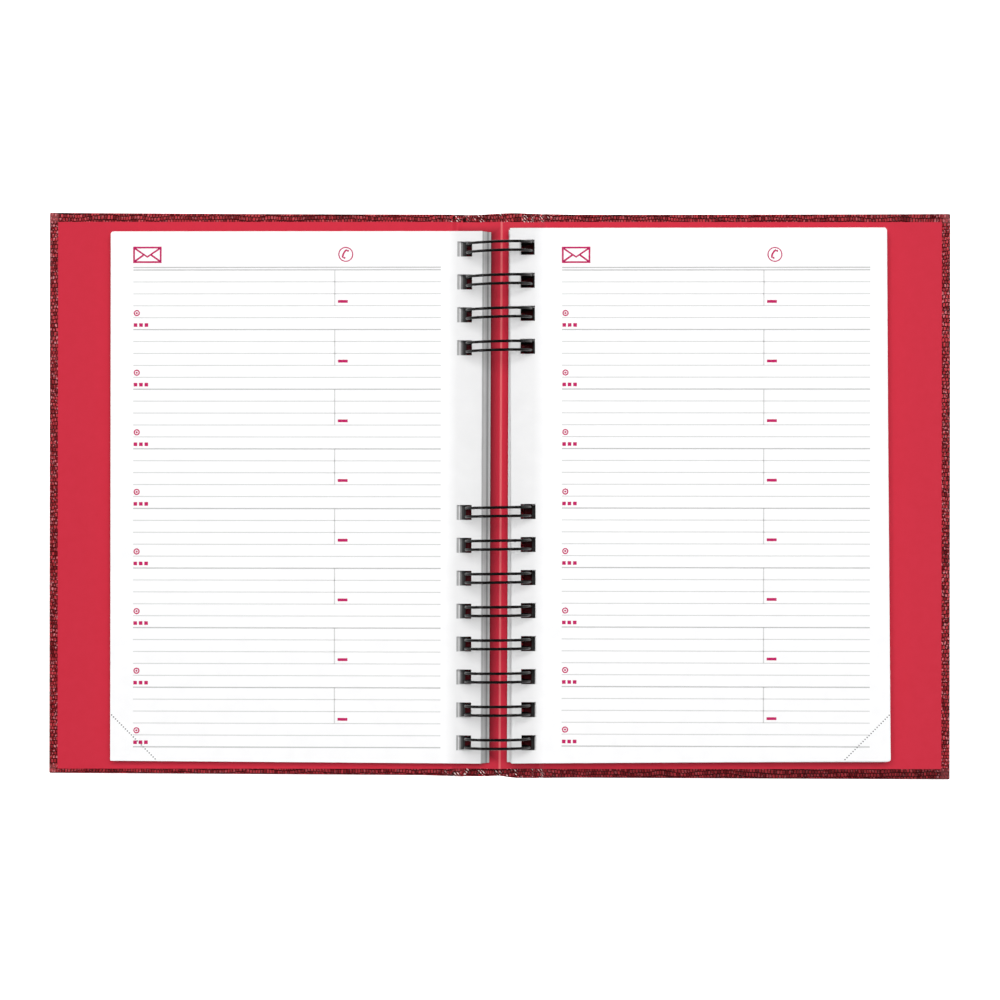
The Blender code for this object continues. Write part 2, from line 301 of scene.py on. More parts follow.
def covering_rows(reach):
    """The covering's section at one place, from outside to inside: distance from the edge, and height."""
    low, high = covering_levels(reach)
    radius = min(WRAP_ROUND, WRAP_SHARE * (high - low))
    turns = [math.pi / 8 * i for i in range(5)]
    rows = [(TURN_IN, low), (UNDER_POINT, low)]
    rows += [(radius - radius * math.sin(turn), low + radius - radius * math.cos(turn)) for turn in turns]
    rows += [(radius - radius * math.cos(turn), high - radius + radius * math.sin(turn)) for turn in turns]
    rows += [(inset, high) for inset in (*BORDER_POINTS, TURN_IN)]
    rows += [(TURN_IN, high - COVERING), (COVERING, high - COVERING)]
    rows += [(COVERING, low + COVERING), (TURN_IN, low + COVERING)]
    return rows


def link_piece(name, mesh):
    piece = bpy.data.objects.new(name, mesh)
    bpy.context.scene.collection.objects.link(piece)
    return piece


def covering_half(name, side):
    sheet = bmesh.new()
    rows = []
    plan = covering_path(side, 0)
    for row in range(len(covering_rows(0))):
        corners = []
        for i, (reach, y) in enumerate(plan):
            inset, height = covering_rows(reach)[row]
            reach, y = covering_path(side, inset)[i]
            off_mitre = abs(reach - abs(y) - half_width + half_height)
            if off_mitre < MITRE_WIDTH and height > board_top / 2 and inset > MM:
                height -= MITRE_DEPTH
            x = side * reach + CASE_SHIFT + CASE_SKEW * y
            corners.append(sheet.verts.new((x, y, height)))
        rows.append(corners)
    count = len(plan)
    for lower, upper in zip(rows, rows[1:]):
        for i in range(count - 1):
            sheet.faces.new((lower[i], lower[i + 1], upper[i + 1], upper[i]))
    for row in (rows[0], rows[-1]):
        for i in range(count // 2 - 1):
            sheet.faces.new((row[i], row[i + 1], row[count - 2 - i], row[count - 1 - i]))
    for end in (0, -1):
        sheet.faces.new([row[end] for row in rows])
    sheet.faces.new((rows[0][0], rows[0][-1], rows[-1][-1], rows[-1][0]))
    bmesh.ops.recalc_face_normals(sheet, faces=sheet.faces)
    mesh = bpy.data.meshes.new(name)
    sheet.to_mesh(mesh)
    sheet.free()
    keep_open_place(mesh)
    mesh.shade_smooth()
    mesh.materials.append(leatherette)
    return link_piece(name, mesh)


for half, side in HALVES.items():
    piece = covering_half(f"{half}_covering_sheet", side)
    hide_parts(f"{half}_covering", "spine_covering")
    end = (side * SPINE_FLAT, 0, 0)
    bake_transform(piece)

# Boards: 3 mm greyboard, pressed from waste paper, with specks of fibre in it. They are the two CAD
# boards, rebated where the covering is turned in, and lie wholly inside the covering and the lining.
BOARD_DEPTH = 0.1 * MM
BOARD_GREYS = [(0.35, (0.24, 0.22, 0.20)), (0.5, (0.36, 0.34, 0.31)), (0.68, (0.45, 0.43, 0.40))]


def own_place(shader):
    """Where a point is on a stiff piece, in metres."""
    return add_node(shader, "ShaderNodeTexCoord", {}).outputs["Object"]


def coloured(shader, value, stops):
    """Colours along a value from 0 to 1, as a list of places and colours."""
    made = add_node(shader, "ShaderNodeValToRGB", {"Fac": value})
    steps = made.color_ramp.elements
    while len(steps) < len(stops):
        steps.new(0.5)
    for step, (place, colour) in zip(steps, stops):
        step.position = place
        step.color = (*colour, 1)
    return made.outputs["Color"]


greyboard, shader = new_material("greyboard", 0.9)
place = own_place(shader)
feed(shader, shader.inputs["Base Color"], coloured(shader, noise(shader, place, 900.0, 5.0), BOARD_GREYS))
bumped(shader, noise(shader, place, 3000.0), BOARD_DEPTH)

for half in HALVES:
    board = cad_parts[f"{half}_board"].data
    board.materials.clear()
    board.materials.append(greyboard)

# Lining: red coated paper, pasted over the boards and the turn-ins, pressed into the hinge grooves and on
# over the spine, where it is creased to a ridge and punched for the wires. The two halves meet at the
# ridge, where a pale line is partly the red coat worn and partly a painted highlight of the crease.
LINING = 0.3 * MM
LINING_INSET = 3.4 * MM
LINING_HEAD = 3.3 * MM
HEAD_TILT = 0.2 * MM
LINING_TAIL = 2.75 * MM
TAIL_TILT = 0.95 * MM
BEND_STEP = 0.3 * MM
BEND_STEPS = 65
WIRE_X = 0.5 * MM
WIRE_Z = 13.35 * MM
LOOP_RADIUS = 12.15 * MM
HOLE = 5.8 * MM
PITCH = 12.7 * MM
UPPER_PLACES = range(0, 4)
LOWER_PLACES = range(8, 16)
PLACES = [*UPPER_PLACES, *LOWER_PLACES]
MIDDLE_PLACE = 7.5
SHOULDER_X = 6.68 * MM
SHOULDER_Z = 3.4 * MM
CREASE_X = 1.1 * MM
RIDGE_Z = 4.6 * MM
RIDGE_SLOPE = 0.85
GROOVE_LINING = 2.65 * MM
lining_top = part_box("back_lining")[1].z

LINING_REDS = [(0.3, (0.548, 0.0235, 0.047)), (0.7, (0.562, 0.0250, 0.0505))]
WORN_AND_HIGHLIT_RED = (0.80, 0.22, 0.22, 1)
GUTTER = 20 * MM
# Painted shade of the lining across the gutter: place across it, and share of colour kept.
LINING_SHADES = [(0.1, 1.0), (0.15, 0.1), (0.36, 0.1), (0.43, 0.31), (0.5, 0.8), (0.54, 1.0)]
LINING_SHADES += [(0.59, 0.9), (0.64, 0.45), (0.7, 0.06), (0.85, 0.06), (0.9, 1.0)]
SHADE_ENDS = (98 * MM, 105 * MM)
WORN_AND_HIGHLIT_LINE = (0.15 * MM, 0.6 * MM)
LINING_DEPTH = 0.02 * MM


def share_of(shader, value, low, high):
    """How far a value has come from low to high, from 0 to 1."""
    inputs = {"Value": value, "From Min": low, "From Max": high}
    return add_node(shader, "ShaderNodeMapRange", inputs).outputs["Result"]


def greys(shades):
    return [(where, (shade, shade, shade)) for where, shade in shades]


red_lining, shader = new_material("red_lining", 0.42)
place = open_place(shader)
across, up, height = split(shader, place)
mottle = noise(shader, place, 380.0, 4.0)
# Painted shade: the lining is darkened beside and under the piles round the wire holes, as if in their
# shadow, but not near the head and the tail.
gutter = coloured(shader, share_of(shader, across, -GUTTER, GUTTER), greys(LINING_SHADES))
beyond = stretched(shader, size_of(shader, up), *SHADE_ENDS)
shade = calculated(shader, "MAXIMUM", gutter, beyond)
plain = dimmed(shader, coloured(shader, mottle, LINING_REDS), shade)
# Painted highlight and wear: a pale line along the crease of the ridge.
off_crease = size_of(shader, calculated(shader, "SUBTRACT", across, CREASE_X))
worn = stretched(shader, off_crease, *WORN_AND_HIGHLIT_LINE, 0.55, 0.0)
feed(shader, shader.inputs["Base Color"], mixed(shader, worn, plain, WORN_AND_HIGHLIT_RED))
shader.inputs["Specular IOR Level"].default_value = 0.15
feed(shader, shader.inputs["Roughness"], stretched(shader, mottle, 0.3, 0.7, 0.36, 0.5))
bumped(shader, noise(shader, place, 2600.0), LINING_DEPTH, 0.5)


def baked(name, data):
    """The mesh of a curve."""
    drawn = bpy.data.objects.new(name, data)
    bpy.context.scene.collection.objects.link(drawn)
    bpy.context.view_layer.update()
    mesh = bpy.data.meshes.new_from_object(drawn.evaluated_get(bpy.context.evaluated_depsgraph_get()))
    bpy.data.objects.remove(drawn)
    mesh.materials.clear()
    return mesh


def filled(name, outlines, thickness, base=0.0):
    """A flat closed sheet, standing on a level; outlines inside the first are holes."""
    curve = bpy.data.curves.new(name, "CURVE")
    curve.dimensions = "2D"
    curve.fill_mode = "BOTH"
    curve.extrude = thickness / 2
    for outline in outlines:
        spline = curve.splines.new("POLY")
        spline.points.add(len(outline) - 1)
        for point, (x, y) in zip(spline.points, outline):
            point.co = (x, y, 0, 1)
        spline.use_cyclic_u = True
    mesh = baked(name, curve)
    sheet = bmesh.new()
    sheet.from_mesh(mesh)
    bmesh.ops.remove_doubles(sheet, verts=sheet.verts, dist=0.001 * MM)
    bmesh.ops.recalc_face_normals(sheet, faces=sheet.faces)
    bmesh.ops.translate(sheet, verts=sheet.verts, vec=(0, 0, base + thickness / 2))
    sheet.to_mesh(mesh)
    sheet.free()
    return mesh


def rectangle(x_low, x_high, y_low, y_high):
    return [(x_low, y_low), (x_high, y_low), (x_high, y_high), (x_low, y_high)]


def place_y(count):
    """Where a punching place lies, counted from the head."""
    return (MIDDLE_PLACE - count) * PITCH


def lining_level(x):
    """Upper side of the lining across the case: board, groove, shoulder of the spine and ridge."""
    reach = abs(x)
    if reach >= GROOVE_START:
        return GROOVE_LINING + (lining_top - GROOVE_LINING) * eased(GROOVE_END - MM, BOARD_EDGE, reach)
    shoulder = WIRE_X + math.copysign(SHOULDER_X, x)
    if reach >= abs(shoulder):
        share = (reach - abs(shoulder)) / (GROOVE_START - abs(shoulder))
        return SHOULDER_Z + (GROOVE_LINING - SHOULDER_Z) * share
    share = (x - CREASE_X) / (shoulder - CREASE_X)
    return RIDGE_Z + (SHOULDER_Z - RIDGE_Z) * abs(share) ** RIDGE_SLOPE


def lining_half(name, side):
    fore = side * (half_width - LINING_INSET)
    ends = sorted((CREASE_X, fore))
    head = [(x, half_height - LINING_HEAD + HEAD_TILT * x / half_width) for x in ends]
    tail = [(x, LINING_TAIL + TAIL_TILT * x / half_width - half_height) for x in ends]
    outlines = [[*tail, *reversed(head)]]
    middle = WIRE_X + side * SHOULDER_X
    for count in PLACES:
        y = place_y(count)
        outlines.append(rectangle(middle - HOLE / 2, middle + HOLE / 2, y - HOLE / 2, y + HOLE / 2))
    mesh = filled(name, outlines, LINING, -LINING)
    sheet = bmesh.new()
    sheet.from_mesh(mesh)
    for i in range(1, BEND_STEPS + 1):
        everything = [*sheet.verts, *sheet.edges, *sheet.faces]
        bend_at = (side * BEND_STEP * i, 0, 0)
        bmesh.ops.bisect_plane(sheet, geom=everything, plane_co=bend_at, plane_no=(1, 0, 0))
    for corner in sheet.verts:
        corner.co.z += lining_level(corner.co.x)
        corner.co.x += CASE_SHIFT + CASE_SKEW * corner.co.y
    sheet.to_mesh(mesh)
    sheet.free()
    keep_open_place(mesh)
    mesh.materials.append(red_lining)
    return link_piece(name, mesh)


for half, side in HALVES.items():
    piece = lining_half(f"{half}_lining_sheet", side)
    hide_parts(f"{half}_lining", "spine_strip")
    end = (side * SPINE_FLAT, 0, 0)
    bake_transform(piece)

# Wires: black nylon-coated steel, 1.1 mm thick, one unbroken wire for the four upper loops and one for the
# eight lower ones. Each runs up one strand of a loop, round its tip and back, through the holes of every
# sheet, with its seam under the spine strip. Its coat is rubbed dull where the sheets slide.
WIRE = 1.06 * MM
TWIN = 3.3 * MM
WIRE_BEND = 1.0 * MM
SEAM = math.radians(5)
STRAND_STEPS = 48
LOOP_SKEW = 0.022
LOOP_TWIST = 0.13
LOOP_LEAN = 0.0045
LOOP_SHIFT = -0.3 * MM
LOOP_WIDER = 0.04
LOOP_SHOULDER = 0.1
WIRE_BLACKS = [(0.3, (0.003, 0.003, 0.003)), (0.7, (0.008, 0.007, 0.007))]
RUBBED_TO = (WIRE_Z + 1 * MM, WIRE_Z + 4 * MM)
COAT_DEPTH = 0.02 * MM

coated_wire, shader = new_material("coated_wire", 0.2)
place = own_place(shader)
across, up, height = split(shader, place)
feed(shader, shader.inputs["Base Color"], coloured(shader, noise(shader, place, 700.0), WIRE_BLACKS))
sheen = stretched(shader, noise(shader, place, 1500.0), 0.3, 0.7, 0.15, 0.27)
dull = stretched(shader, height, *RUBBED_TO, 0.9, 0.0)
feed(shader, shader.inputs["Roughness"], calculated(shader, "MAXIMUM", sheen, dull))
shader.inputs["Specular IOR Level"].default_value = 0.15
bumped(shader, noise(shader, place, 1800.0), COAT_DEPTH, 0.4)


def loop_path(count):
    """One loop before it is rolled up: distance round from the seam, and Y."""
    half_twin = TWIN / 2
    straight = LOOP_RADIUS * (2 * math.pi - 2 * SEAM) - half_twin
    turns = [math.pi / 2 * i / ROUND_STEPS for i in range(ROUND_STEPS + 1)]
    foot = half_twin + WIRE_BEND
    there = [(WIRE_BEND - WIRE_BEND * math.cos(turn), foot - WIRE_BEND * math.sin(turn)) for turn in turns]
    steps = [i / STRAND_STEPS for i in range(1, STRAND_STEPS + 1)]
    there += [(WIRE_BEND + (straight - WIRE_BEND) * step, half_twin) for step in steps]
    round_tip = [2 * turn for turn in turns[1:-1]]
    tip = [(straight + half_twin * math.sin(turn), half_twin * math.cos(turn)) for turn in round_tip]
    path = there + tip + [(out, -y) for out, y in reversed(there)]
    return [(out, place_y(count) + y) for out, y in path]


def rolled(out, y):
    """A point of the loop's path, rolled up round the wire axis. The loops lean and twist a little."""
    turn = -math.pi / 2 - SEAM - out / LOOP_RADIUS
    x, z = LOOP_RADIUS * math.cos(turn), LOOP_RADIUS * math.sin(turn)
    above = max(z, 0) / LOOP_RADIUS
    if x < 0:
        x *= 1 + LOOP_WIDER - LOOP_SHOULDER * above * x / LOOP_RADIUS
    skewed = y + LOOP_SHIFT + (LOOP_SKEW + LOOP_TWIST * y) * x - LOOP_LEAN * y * above
    return WIRE_X + x, skewed, WIRE_Z + z


def build_wire(name, places):
    curve = bpy.data.curves.new(name, "CURVE")
    curve.dimensions = "3D"
    curve.bevel_depth = WIRE / 2
    curve.bevel_resolution = 3
    curve.use_fill_caps = True
    path = [point for count in places for point in loop_path(count)]
    spline = curve.splines.new("POLY")
    spline.points.add(len(path) - 1)
    for point, (out, y) in zip(spline.points, path):
        point.co = (*rolled(out, y), 1)
    mesh = baked(name, curve)
    mesh.shade_smooth()
    mesh.materials.append(coated_wire)
    return mesh


def add_piece(name, mesh, body):
    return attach(link_piece(name, mesh), body)


for run, places in (("upper", UPPER_PLACES), ("lower", LOWER_PLACES)):
    name = f"{run}_twin_loop"
    piece = add_piece(name, build_wire(name, places), "binding")
    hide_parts(f"{run}_wire")

# Sections: blocks of loose punched sheets, white uncoated paper. Each section is a stack of separate
# sheets, strayed a little on the wires; on the left they are pulled out along the loops, so their inner
# edges fan.
SIDES = {"left": -1, "right": 1}
SECTIONS = 6
SHEETS = {"left": 6, "right": 10}
SHEET = 0.09 * MM
SHEET_WIDTH = 144.0 * MM
SHEET_HEIGHT = 205.2 * MM
HEAD_CORNER = 0.9 * MM
TAIL_CORNER = 0.35 * MM
CORNER_STEPS = 5
HOLE_MARGIN = 3.6 * MM
HOLE_SPREAD = 0.2 * MM
WIRE_PLAY = 0.35 * MM
STRAY = 0.1 * MM
STRAY_TURN = math.radians(0.02)
RIGHT_SETBACK = 3.0 * MM
DROP = {"left": 0.55 * MM, "right": 0.2 * MM}
SKEW = {"left": math.radians(0.1), "right": math.radians(0.45)}

# How far the edges stand out of square: the fore-edge at head and tail, the head and the tail at gutter
# and fore-edge.
FORE_EDGE = {"left": (-0.6 * MM, -0.8 * MM), "right": (0.25 * MM, 1.0 * MM)}
HEAD_EDGE = {"left": (-0.45 * MM, -0.6 * MM), "right": (0.1 * MM, -0.65 * MM)}
TAIL_EDGE = {"left": (-0.6 * MM, -0.1 * MM), "right": (-0.6 * MM, 0.2 * MM)}

# Painted shade: the paper's colour is darkened where little light falls, by the gutter, on the cut edges,
# on the fanned edges and down in the holes.
PAPER_WHITES = [(0.3, (0.885, 0.885, 0.890)), (0.7, (0.915, 0.915, 0.920))]
PAPER_DEPTH = 0.01 * MM
PAPER_SHADES = [(0.0, 1.0), (0.1, 0.88), (0.337, 0.84), (0.343, 1.0)]
PAPER_SHADES += [(0.53, 1.0), (0.56, 0.84), (0.84, 0.88), (0.95, 1.0)]
FAN_SHADES = [0.45, 0.26, 0.44, 0.52, 0.42, 0.55]
LEFT_HOLE_SHADES = [0.05, 0.10, 0.32, 0.95, 0.62, 0.5]
RIGHT_HOLE_SHADES = [0.05, 0.05, 0.06, 0.1, 0.18, 0.4]
FAN_ZONE = (-2.6 * MM, 3.75 * MM)
LEFT_HOLE_ZONE = (-13.7 * MM, 3.1 * MM)
RIGHT_HOLE_ZONE = (11.6 * MM, 3 * MM)
HOLE_WALLS = (14 * MM, 6 * MM)
HOLE_ROW = (3.3 * MM, 3.6 * MM)
UNPUNCHED = (2 * PITCH, 2 * PITCH)
EDGE_SHADE = 0.7
HOLE_WALL_LOSS = 0.45


def layered(shader, depth, shades):
    """One shade for each section of the pile, from the lowest to the highest, and white above them."""
    steps = [(i / len(shades), shade) for i, shade in enumerate([*shades, 1.0])]
    colour = coloured(shader, depth, greys(steps))
    colour.node.color_ramp.interpolation = "CONSTANT"
    return colour


def within(shader, value, middle, reach):
    """1 where a value lies within reach of a middle, and 0 elsewhere."""
    near = calculated(shader, "COMPARE", value, middle)
    near.node.inputs[2].default_value = reach
    return near


def rest_of(shader, share):
    """What a share leaves of 1."""
    return calculated(shader, "SUBTRACT", 1.0, share)


def pile_depth(shader, height, side):
    """How high a point is in a pile of sections, from 0 to 1."""
    return share_of(shader, height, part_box(f"{side}_section_1")[0].z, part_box(f"{side}_leaf_1")[0].z)


paper, shader = new_material("page_paper", 0.85)
shader.inputs["Specular IOR Level"].default_value = 0.25
place = own_place(shader)
across, up, height = split(shader, place)
plain = coloured(shader, noise(shader, place, 160.0, 5.0), PAPER_WHITES)
# Painted shade: the paper is darkened near the gutter.
gutter = coloured(shader, share_of(shader, across, -GUTTER, GUTTER), greys(PAPER_SHADES))
facing = add_node(shader, "ShaderNodeNewGeometry", {}).outputs["True Normal"]
flat = stretched(shader, size_of(shader, split(shader, facing)["Z"]), 0.3, 0.7)
off_place = calculated(shader, "PINGPONG", calculated(shader, "ADD", up, DROP["left"]), PITCH / 2)
in_row = stretched(shader, off_place, *HOLE_ROW)
in_row = product(shader, in_row, rest_of(shader, within(shader, up, *UNPUNCHED)))
# Painted shade: cut edges are darker, and darker still on the hole walls by the wires.
hole_wall = product(shader, within(shader, size_of(shader, across), *HOLE_WALLS), in_row)
cut_edge_shade = calculated(shader, "SUBTRACT", EDGE_SHADE, product(shader, HOLE_WALL_LOSS, hole_wall))
shade = product(shader, gutter, calculated(shader, "MAXIMUM", flat, cut_edge_shade))
# Painted shade: each section of the piles gets its own darker tone on the fanned inner edges and down round
# the holes.
zones = [("left", FAN_ZONE, flat, FAN_SHADES)]
zones += [("left", LEFT_HOLE_ZONE, in_row, LEFT_HOLE_SHADES)]
zones += [("right", RIGHT_HOLE_ZONE, in_row, RIGHT_HOLE_SHADES)]
for side, zone, where, shades in zones:
    shaded = product(shader, within(shader, across, *zone), where)
    lost = rest_of(shader, layered(shader, pile_depth(shader, height, side), shades))
    shade = product(shader, shade, rest_of(shader, product(shader, shaded, lost)))
feed(shader, shader.inputs["Base Color"], dimmed(shader, plain, shade))
bumped(shader, noise(shader, place, 4200.0, 3.0), PAPER_DEPTH, 0.5)

rows_group = bpy.data.node_groups.new("row_of_copies", "GeometryNodeTree")
SOCKETS = {
    "Piece": "NodeSocketObject",
    "Copies": "NodeSocketInt",
    "Step": "NodeSocketVector",
    "Stray": "NodeSocketVector",
    "Turn": "NodeSocketVector",
    "Seed": "NodeSocketInt",
    "Material": "NodeSocketMaterial",
}
socket_ids = {
    name: rows_group.interface.new_socket(name, in_out="INPUT", socket_type=kind).identifier
    for name, kind in SOCKETS.items()
}
rows_group.interface.new_socket("Geometry", in_out="OUTPUT", socket_type="NodeSocketGeometry")


def group_node(kind, inputs, **settings):
    """Put a node in the row's tree; inputs are values or the outputs of other nodes, by socket name."""
    made = rows_group.nodes.new(kind)
    for name, value in settings.items():
        setattr(made, name, value)
    for name, value in inputs.items():
        if isinstance(value, bpy.types.NodeSocket):
            rows_group.links.new(value, made.inputs[name])
        else:
            made.inputs[name].default_value = value
    return made


def spread(reach, seed):
    """A random vector for each copy, up to a reach to both sides."""
    inputs = {0: reach, "Scale": -1.0}
    back = group_node("ShaderNodeVectorMath", inputs, operation="SCALE").outputs["Vector"]
    inputs = {"Min": back, "Max": reach, "Seed": seed}
    return group_node("FunctionNodeRandomValue", inputs, data_type="FLOAT_VECTOR").outputs["Value"]


given = group_node("NodeGroupInput", {}).outputs
inputs = {"Count": given["Copies"], "Offset": given["Step"]}
line = group_node("GeometryNodeMeshLine", inputs).outputs["Mesh"]
inputs = {"Geometry": line, "Offset": spread(given["Stray"], given["Seed"])}
strayed = group_node("GeometryNodeSetPosition", inputs).outputs["Geometry"]
shape = group_node("GeometryNodeObjectInfo", {"Object": given["Piece"]}).outputs["Geometry"]
inputs = {"Points": strayed, "Instance": shape, "Rotation": spread(given["Turn"], given["Seed"])}
copies = group_node("GeometryNodeInstanceOnPoints", inputs).outputs["Instances"]
real = group_node("GeometryNodeRealizeInstances", {"Geometry": copies}).outputs["Geometry"]
inputs = {"Geometry": real, "Material": given["Material"]}
finished = group_node("GeometryNodeSetMaterial", inputs).outputs["Geometry"]
group_node("NodeGroupOutput", {"Geometry": finished})


def row_of_copies(name, mesh, copies, step, material, stray=(0, 0, 0), turn=(0, 0, 0), seed=0):
    """Copies of a mesh in a row, each strayed and turned a little, baked to one mesh."""
    mesh.materials.append(material)
    piece = bpy.data.objects.new(name, mesh)
    holder = bpy.data.objects.new(name, bpy.data.meshes.new(name))
    for used in (piece, holder):
        bpy.context.scene.collection.objects.link(used)
    row = holder.modifiers.new("row", "NODES")
    row.node_group = rows_group
    values = [piece, copies, step, stray, turn, seed, material]
    for identifier, value in zip(socket_ids.values(), values):
        row[identifier] = value
    bpy.context.view_layer.update()
    made = bpy.data.meshes.new_from_object(holder.evaluated_get(bpy.context.evaluated_depsgraph_get()))
    bpy.data.objects.remove(holder)
    bpy.data.objects.remove(piece)
    return made


def hole_edge(level):
    """How far from the wire axis the near edge of a sheet's holes lies when the sheet is pulled out."""
    return math.sqrt((LOOP_RADIUS - WIRE / 2) ** 2 - (level - WIRE_Z) ** 2) - WIRE_PLAY


right_column = hole_edge(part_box("right_leaf_1")[0].z) - RIGHT_SETBACK


def sheet_edge(side, level):
    """The near edge of the holes: fanned along the loops on the left, in one column on the right."""
    return hole_edge(level) if side == "left" else min(hole_edge(level), right_column)


def sheet_outlines(side, level, hole_spread):
    """A sheet's outline and holes, measured from the wire axis."""
    edge = sheet_edge(side, level)
    near = edge - HOLE_MARGIN
    fore = [near + SHEET_WIDTH + off for off in FORE_EDGE[side]]
    head = [SHEET_HEIGHT / 2 + off for off in HEAD_EDGE[side]]
    tail = [-SHEET_HEIGHT / 2 + off for off in TAIL_EDGE[side]]
    turns = [math.pi / 2 * i / CORNER_STEPS for i in range(CORNER_STEPS + 1)]
    arc = [(1 - math.sin(turn), 1 - math.cos(turn)) for turn in turns]
    outline = [(near, head[0])]
    outline += [(fore[0] - HEAD_CORNER * u, head[1] - HEAD_CORNER * v) for u, v in arc]
    outline += [(fore[1] - TAIL_CORNER * v, tail[1] + TAIL_CORNER * u) for u, v in arc]
    outlines = [[*outline, (near, tail[0])]]
    half = HOLE / 2 + hole_spread
    for count in PLACES:
        y = place_y(count)
        outlines.append(rectangle(edge, edge + HOLE, y - half, y + half))
    return [[(SIDES[side] * x, y) for x, y in points] for points in outlines]


def node_name(side, layer):
    """The node of a layer of the pile: six sections, then two leaves."""
    return f"{side}_section_{layer + 1}" if layer < SECTIONS else f"{side}_leaf_{layer - SECTIONS + 1}"


def body_of(side, layer):
    names = [f"{side}_pages"] * 3 + [f"{side}_upper_pages"] * 3 + [f"{side}_leaf_1", f"{side}_leaf_2"]
    return names[layer]


def levels(side, layer):
    """The underside and the upper side of a layer."""
    return [corner.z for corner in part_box(node_name(side, layer))]


def on_wires(side, layer, level):
    """From a place about the wire axis to the place in the pile, where higher sheets are skewed more."""
    turned = Matrix.Rotation(SKEW[side] * layer / (SECTIONS + 1), 4, "Z")
    return Matrix.Translation((WIRE_X, -DROP[side], level)) @ turned


for side, sign in SIDES.items():
    for layer in range(SECTIONS):
        name = node_name(side, layer)
        low, high = levels(side, layer)
        step = (0, 0, (high - low - SHEET) / (SHEETS[side] - 1))
        sheet = filled(name, sheet_outlines(side, low, HOLE_SPREAD), SHEET)
        stray = (STRAY, STRAY, 0)
        turn = (0, 0, STRAY_TURN)
        stack = row_of_copies(name, sheet, SHEETS[side], step, paper, stray, turn, layer + 10 * sign)
        stack.transform(on_wires(side, layer, low))
        piece = add_piece(f"{name}_sheets", stack, body_of(side, layer))
        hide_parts(name)

# Leaves: the two loose leaves on top of each pile, of the same paper as the sections and punched with
# them. They lie flat on the sections and turn one by one on the wires.
LEAVES = (SECTIONS, SECTIONS + 1)
for side in SIDES:
    for layer in LEAVES:
        name = node_name(side, layer)
        low, high = levels(side, layer)
        leaf = filled(name, sheet_outlines(side, low, 0), high - low)
        leaf.materials.append(paper)
        leaf.transform(on_wires(side, layer, low))
        piece = add_piece(f"{name}_sheet", leaf, body_of(side, layer))
        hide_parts(name)

# Printing: one address page, in grey rules and crimson marks a hundredth of a millimetre thick, on both
# sides of the loose leaves and where a section opens. Rings, squares and bars are its labels, below an
# envelope and a handset, and a dotted line marks the corner that tears off.
INK = 0.012 * MM
ROW = 4.592 * MM
BLOCK = 5
BLOCKS = 8
LINE = 118.5 * MM
FINE_RULE = 0.33 * MM
HEAVY_RULE = 0.44 * MM
TITLE_RULE_Y = 0.97 * MM
DIVIDER = 0.4 * MM
DIVIDER_X = 77.7 * MM
DIVIDER_ROWS = 3


def printing_ink(name, roughness, dark, light):
    material, shader = new_material(name, roughness)
    patchy = noise(shader, own_place(shader), 2500.0)
    feed(shader, shader.inputs["Base Color"], coloured(shader, patchy, [(0.3, dark), (0.7, light)]))
    return material


rule_ink = printing_ink("rule_ink", 0.8, (0.56, 0.56, 0.56), (0.61, 0.61, 0.61))
heavy_ink = printing_ink("heavy_rule_ink", 0.8, (0.45, 0.45, 0.45), (0.50, 0.50, 0.50))
crimson_ink = printing_ink("crimson_ink", 0.7, (0.46, 0.003, 0.092), (0.54, 0.006, 0.118))
dot_ink = printing_ink("perforation_ink", 0.8, (0.06, 0.065, 0.07), (0.10, 0.105, 0.11))


def ring(x, y, radius, points=28):
    turns = [2 * math.pi * i / points for i in range(points)]
    return [(x + radius * math.cos(turn), y + radius * math.sin(turn)) for turn in turns]


def stroke(points, width):
    """The outline of a drawn line."""
    points = [Vector(point) for point in points]
    ways = [(b - a).normalized() for a, b in zip(points, points[1:])]
    sides = []
    for i, point in enumerate(points):
        way = (ways[max(i - 1, 0)] + ways[min(i, len(ways) - 1)]).normalized()
        sides.append(Vector((-way.y, way.x)) * width / 2)
    left_side = [tuple(point + aside) for point, aside in zip(points, sides)]
    right_side = [tuple(point - aside) for point, aside in zip(points, sides)]
    return left_side + right_side[::-1]


def moved(outlines, x, y):
    return [[(u + x, v + y) for u, v in points] for points in outlines]


def stroke_row(outline_sets, copies, ink):
    """Printed shapes, repeated from block to block down the page."""
    block_down = (0, -BLOCK * ROW, 0)
    made = []
    for outlines in outline_sets:
        shape = filled("print", outlines, INK, -INK / 3)
        made.append(row_of_copies("print", shape, copies, block_down, ink))
    return made


def joined(name, meshes):
    """Several meshes as one, with their materials."""
    whole = bmesh.new()
    materials = []
    for mesh in meshes:
        materials += [used for used in mesh.materials if used not in materials]
        slots = [materials.index(used) for used in mesh.materials]
        before = len(whole.faces)
        whole.from_mesh(mesh)
        whole.faces.ensure_lookup_table()
        for face in whole.faces[before:]:
            face.material_index = slots[face.material_index]
    result = bpy.data.meshes.new(name)
    whole.to_mesh(result)
    whole.free()
    for material in materials:
        result.materials.append(material)
    return result


fine_rule = [rectangle(0, LINE, -FINE_RULE / 2, FINE_RULE / 2)]
heavy_rule = [rectangle(0, LINE, -HEAVY_RULE / 2, HEAVY_RULE / 2)]
divider = [rectangle(DIVIDER_X - DIVIDER / 2, DIVIDER_X + DIVIDER / 2, -DIVIDER_ROWS * ROW, 0)]
prints = stroke_row([moved(fine_rule, 0, -row * ROW) for row in range(1, BLOCK)], BLOCKS, rule_ink)
prints += stroke_row([heavy_rule], BLOCKS + 1, heavy_ink)
prints += stroke_row([moved(heavy_rule, 0, TITLE_RULE_Y)], 1, heavy_ink)
prints += stroke_row([divider], BLOCKS, rule_ink)

